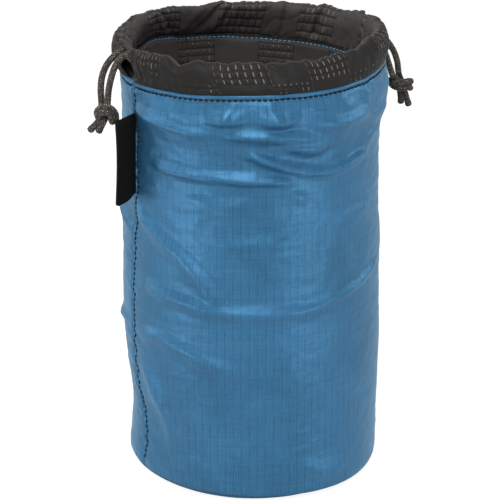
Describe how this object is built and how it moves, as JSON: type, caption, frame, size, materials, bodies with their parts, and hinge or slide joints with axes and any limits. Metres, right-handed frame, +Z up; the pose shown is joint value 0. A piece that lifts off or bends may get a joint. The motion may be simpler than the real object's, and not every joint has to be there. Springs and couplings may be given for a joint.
{
  "type": "lens pouch",
  "caption": "Round padded drawstring pouch for a camera lens, with a soft shell, foam wall, dark lining and collar, knotted drawcords at the side seams and a folded side label",
  "frame": {"origin": "centre of the base, on the surface that the pouch stands on", "axes": "+Z up the pouch to its mouth; the side seams and cord exits lie on -X (with the label) and +X; the front faces -Y"},
  "size_m": [0.1727, 0.127, 0.2183],
  "materials": {
    "shell_cloth": "satin ripstop nylon",
    "foam": "closed-cell foam pad, hidden inside the wall",
    "lining_cloth": "matt quilted nylon",
    "cord": "braided cord",
    "label": "woven tape, bare"
  },
  "bodies": {
    "pouch": {"front_shell_panel": "shell_cloth", "back_shell_panel": "shell_cloth", "shell_base": "shell_cloth", "front_foam_panel": "foam", "back_foam_panel": "foam", "base_foam": "foam", "front_lining_panel": "lining_cloth", "back_lining_panel": "lining_cloth", "lining_base": "lining_cloth", "front_collar": "lining_cloth", "back_collar": "lining_cloth", "left_drawcord": "cord", "right_drawcord": "cord"},
    "left_cord": {"left_strand_back": "cord", "left_strand_front": "cord"},
    "left_cord_end": {"left_knot": "cord"},
    "right_cord": {"right_strand_back": "cord", "right_strand_front": "cord"},
    "right_cord_end": {"right_knot": "cord"},
    "label": {"side_label": "label"}
  },
  "joints": [
    {"name": "left_swing", "type": "hinge", "parent": "pouch", "child": "left_cord", "pos_m": [-0.0645, 0, 0.2135], "axis": [0, 1, 0], "range_deg": [-5, 110], "deforming": ["left_strand_back", "left_strand_front"]},
    {"name": "left_draw", "type": "slide", "parent": "left_cord", "child": "left_cord_end", "axis": [-1, 0, 0], "range_m": [0, 0.125]},
    {"name": "right_swing", "type": "hinge", "parent": "pouch", "child": "right_cord", "pos_m": [0.0645, 0, 0.2095], "axis": [0, -1, 0], "range_deg": [-15, 110], "deforming": ["right_strand_back", "right_strand_front"]},
    {"name": "right_draw", "type": "slide", "parent": "right_cord", "child": "right_cord_end", "axis": [1, 0, 0], "range_m": [0, 0.125]},
    {"name": "label_flip", "type": "hinge", "parent": "pouch", "child": "label", "pos_m": [-0.0626, -0.0033, 0.1642], "axis": [0, 0, 1], "range_deg": [0, 50]}
  ]
}
